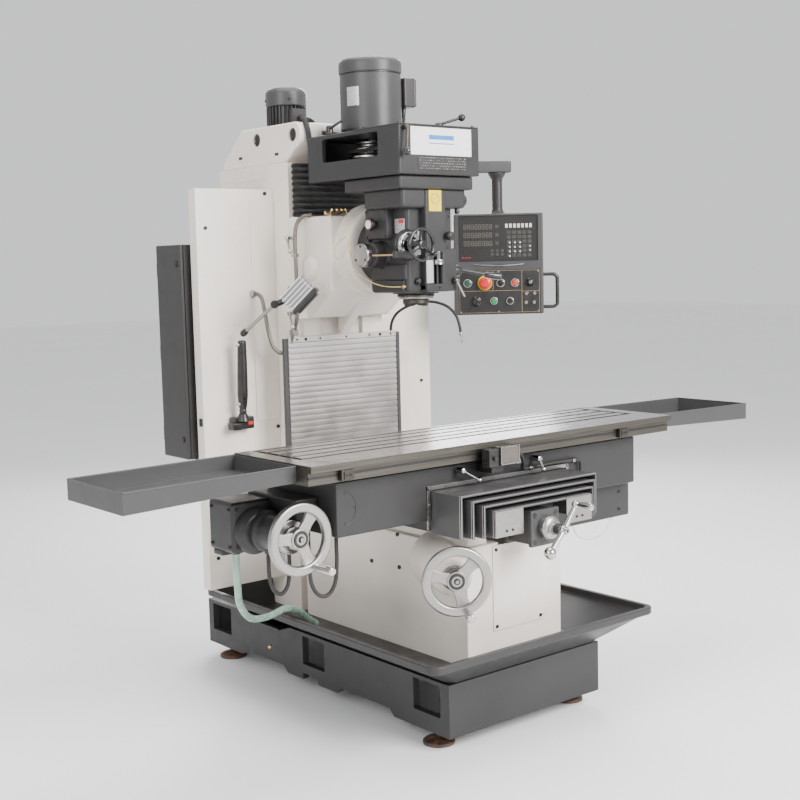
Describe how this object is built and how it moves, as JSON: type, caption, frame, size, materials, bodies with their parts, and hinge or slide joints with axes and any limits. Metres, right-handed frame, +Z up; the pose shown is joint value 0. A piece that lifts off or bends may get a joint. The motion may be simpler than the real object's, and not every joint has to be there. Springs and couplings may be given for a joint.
{
  "type": "vertical milling machine",
  "caption": "Bed-type vertical milling machine with a tilting quill head on a vertical slide, long T-slot table, cross saddle, splash tray and control pendant.",
  "frame": {"origin": "centre of the bounding box at floor level, under the levelling feet", "axes": "+X along the table to the operator's right, +Y from the operator into the machine, +Z up"},
  "size_m": [2.592, 1.63, 2.157],
  "materials": {
    "grey_enamel": "satin dark grey enamel on cast iron and sheet steel",
    "white_enamel": "satin warm white enamel",
    "steel": "machined steel",
    "ground_table": "ground cast iron with oil film",
    "aluminium": "polished and extruded aluminium",
    "black_plastic": "black moulded plastic and folded fabric",
    "rubber": "black rubber and braided conduit",
    "green_hose": "green plastic",
    "red_plastic": "glossy red plastic"
  },
  "bodies": {
    "machine": {"base_casting": "grey_enamel", "splash_tray": "grey_enamel", "levelling_foot_front_left": "steel", "levelling_foot_front_right": "steel", "levelling_foot_rear_left": "steel", "levelling_foot_rear_right": "steel", "bed": "white_enamel", "y_screw_bracket": "steel", "z_drive_housing": "white_enamel", "column": "white_enamel", "guard_left": "white_enamel", "guard_right": "white_enamel", "electrical_cabinet": "grey_enamel", "top_cover": "white_enamel", "lift_motor": "grey_enamel", "upper_bellows": "black_plastic", "slat_apron": "aluminium", "y_cover_4": "grey_enamel", "lamp_base": "black_plastic", "coolant_gooseneck": "black_plastic"},
    "door": {"cabinet_door": "grey_enamel"},
    "saddle": {"saddle": "grey_enamel", "x_gearbox": "grey_enamel", "y_cover_1": "grey_enamel", "drain_hose": "green_hose", "cable_loop_left": "rubber", "cable_loop_right": "rubber"},
    "saddle_lock_left": {"saddle_lock_left": "steel"},
    "saddle_lock_right": {"saddle_lock_right": "steel"},
    "x_wheel": {"x_handwheel": "aluminium"},
    "z_wheel": {"z_handwheel": "aluminium"},
    "crank": {"y_crank": "steel"},
    "cover_2": {"y_cover_2": "grey_enamel"},
    "cover_3": {"y_cover_3": "grey_enamel"},
    "table": {"table": "ground_table", "coolant_tray_left": "grey_enamel", "coolant_tray_right": "grey_enamel"},
    "carriage": {"carriage": "white_enamel"},
    "carriage_lock_upper": {"carriage_lock_upper": "steel"},
    "carriage_lock_lower": {"carriage_lock_lower": "steel"},
    "head": {"head_casting": "grey_enamel", "belt_housing": "grey_enamel", "drive_motor": "grey_enamel", "drive_belt": "rubber"},
    "motor_pulley": {"motor_pulley": "steel"},
    "spindle_pulley": {"spindle_pulley": "steel"},
    "quill": {"quill": "steel"},
    "spindle": {"spindle": "steel"},
    "feed_wheel": {"feed_handwheel": "black_plastic"},
    "quill_lever": {"quill_lever": "black_plastic"},
    "speed_lever": {"speed_lever": "black_plastic"},
    "brake_lever": {"brake_lever": "black_plastic"},
    "arm": {"control_arm": "grey_enamel"},
    "pendant": {"pendant": "grey_enamel"},
    "emergency_stop": {"emergency_stop": "red_plastic"},
    "start_button": {"start_button": "green_hose"},
    "speed_knob": {"speed_knob": "black_plastic"},
    "lamp_lower": {"lamp_lower_arm": "black_plastic"},
    "lamp_upper": {"lamp_upper_arm": "steel"},
    "lamp_head": {"lamp_head": "aluminium"}
  },
  "joints": [
    {"name": "door_hinge", "type": "hinge", "parent": "machine", "child": "door", "pos_m": [-0.542, 0.691, 1.17], "axis": [0, 0, -1], "range_deg": [0, 105]},
    {"name": "saddle_y", "type": "slide", "parent": "machine", "child": "saddle", "axis": [0, 1, 0], "range_m": [-0.015, 0.355]},
    {"name": "cover_2_slide", "type": "slide", "parent": "machine", "child": "cover_2", "axis": [0, 1, 0], "range_m": [-0.0101, 0.2368]},
    {"name": "cover_3_slide", "type": "slide", "parent": "machine", "child": "cover_3", "axis": [0, 1, 0], "range_m": [-0.0051, 0.1184]},
    {"name": "y_crank_turn", "type": "hinge", "parent": "machine", "child": "crank", "pos_m": [0, -0.709, 0.657], "axis": [0, 1, 0], "range_deg": [-1081, 25562]},
    {"name": "table_x", "type": "slide", "parent": "saddle", "child": "table", "axis": [1, 0, 0], "range_m": [-0.355, 0.355]},
    {"name": "x_handwheel_turn", "type": "hinge", "parent": "saddle", "child": "x_wheel", "pos_m": [-0.752, -0.452, 0.702], "axis": [0, 1, 0], "range_deg": [-25562, 25562]},
    {"name": "saddle_lock_left_turn", "type": "hinge", "parent": "saddle", "child": "saddle_lock_left", "pos_m": [-0.185, -0.499, 0.833], "axis": [0, -1, 0], "range_deg": [0, 40]},
    {"name": "saddle_lock_right_turn", "type": "hinge", "parent": "saddle", "child": "saddle_lock_right", "pos_m": [0.141, -0.499, 0.833], "axis": [0, -1, 0], "range_deg": [-60, 60]},
    {"name": "carriage_z", "type": "slide", "parent": "machine", "child": "carriage", "axis": [0, 0, 1], "range_m": [-0.36, 0.1], "deforming": ["upper_bellows", "slat_apron"]},
    {"name": "z_handwheel_turn", "type": "hinge", "parent": "machine", "child": "z_wheel", "pos_m": [-0.31, -0.609, 0.531], "axis": [0.515, 0.8572, 0], "range_deg": [-32402, 9001]},
    {"name": "carriage_lock_upper_turn", "type": "hinge", "parent": "carriage", "child": "carriage_lock_upper", "pos_m": [-0.228, 0.321, 1.56], "axis": [1, 0, 0], "range_deg": [-35, 35]},
    {"name": "carriage_lock_lower_turn", "type": "hinge", "parent": "carriage", "child": "carriage_lock_lower", "pos_m": [-0.228, 0.321, 1.3], "axis": [1, 0, 0], "range_deg": [-35, 35]},
    {"name": "head_tilt", "type": "hinge", "parent": "carriage", "child": "head", "pos_m": [0, 0.156, 1.511], "axis": [0, -1, 0], "range_deg": [-25, 45]},
    {"name": "motor_spin", "type": "hinge", "parent": "head", "child": "motor_pulley", "pos_m": [0, 0.138, 1.84], "axis": [0, 0, 1], "continuous": true},
    {"name": "pulley_spin", "type": "hinge", "parent": "head", "child": "spindle_pulley", "pos_m": [0, -0.079, 1.84], "axis": [0, 0, 1], "continuous": true},
    {"name": "quill_slide", "type": "slide", "parent": "head", "child": "quill", "axis": [0, 0, -1], "range_m": [0, 0.127]},
    {"name": "spindle_spin", "type": "hinge", "parent": "quill", "child": "spindle", "pos_m": [0, -0.079, 1.4], "axis": [0, 0, 1], "continuous": true},
    {"name": "feed_handwheel_turn", "type": "hinge", "parent": "head", "child": "feed_wheel", "pos_m": [-0.1, -0.232, 1.522], "axis": [0, -1, 0], "continuous": true},
    {"name": "quill_lever_turn", "type": "hinge", "parent": "head", "child": "quill_lever", "pos_m": [0.135, -0.114, 1.435], "axis": [1, 0, 0], "range_deg": [0, 270]},
    {"name": "speed_lever_turn", "type": "hinge", "parent": "head", "child": "speed_lever", "pos_m": [0.06, -0.144, 1.9], "axis": [0, 0, 1], "range_deg": [-35, 35]},
    {"name": "brake_lever_turn", "type": "hinge", "parent": "head", "child": "brake_lever", "pos_m": [-0.15, 0.176, 1.9], "axis": [0, 0, 1], "range_deg": [-30, 25]},
    {"name": "arm_swing", "type": "hinge", "parent": "machine", "child": "arm", "pos_m": [0.255, 0.346, 1.815], "axis": [0, 0, 1], "range_deg": [-30, 25]},
    {"name": "pendant_turn", "type": "hinge", "parent": "arm", "child": "pendant", "pos_m": [0.61045, 0.16254, 1.7], "axis": [0, 0, 1], "range_deg": [-40, 40]},
    {"name": "emergency_stop_push", "type": "slide", "parent": "pendant", "child": "emergency_stop", "axis": [0.6293, 0.7771, 0], "range_m": [0, 0.004], "stiffness_N_per_m": 800},
    {"name": "start_button_push", "type": "slide", "parent": "pendant", "child": "start_button", "axis": [0.6293, 0.7771, 0], "range_m": [0, 0.004], "stiffness_N_per_m": 500},
    {"name": "speed_knob_turn", "type": "hinge", "parent": "pendant", "child": "speed_knob", "pos_m": [0.67542, 0.05845, 1.383], "axis": [-0.6293, -0.7771, 0], "range_deg": [-150, 150]},
    {"name": "lamp_swivel", "type": "hinge", "parent": "machine", "child": "lamp_lower", "pos_m": [-0.385, 0.414, 0.965], "axis": [0, 0, 1], "range_deg": [-50, 5]},
    {"name": "lamp_elbow", "type": "hinge", "parent": "lamp_lower", "child": "lamp_upper", "pos_m": [-0.387, 0.401, 1.231], "axis": [-0.9712, -0.2381, 0], "range_deg": [-25, 25]},
    {"name": "lamp_neck", "type": "hinge", "parent": "lamp_upper", "child": "lamp_head", "pos_m": [-0.349, 0.246, 1.337], "axis": [-0.9712, -0.2381, 0], "range_deg": [-35, 35]}
  ],
  "couplings": [
    {"joint": "cover_2_slide", "follows": "saddle_y", "ratio": 0.6667},
    {"joint": "cover_3_slide", "follows": "saddle_y", "ratio": 0.3333},
    {"joint": "y_crank_turn", "follows": "saddle_y", "rad_per_m": 1256.6},
    {"joint": "x_handwheel_turn", "follows": "table_x", "rad_per_m": 1256.6},
    {"joint": "z_handwheel_turn", "follows": "carriage_z", "rad_per_m": 1570.8},
    {"joint": "pulley_spin", "follows": "motor_spin", "ratio": 0.94},
    {"joint": "spindle_spin", "follows": "motor_spin", "ratio": 0.94},
    {"joint": "quill_lever_turn", "follows": "quill_slide", "rad_per_m": 37.1}
  ]
}
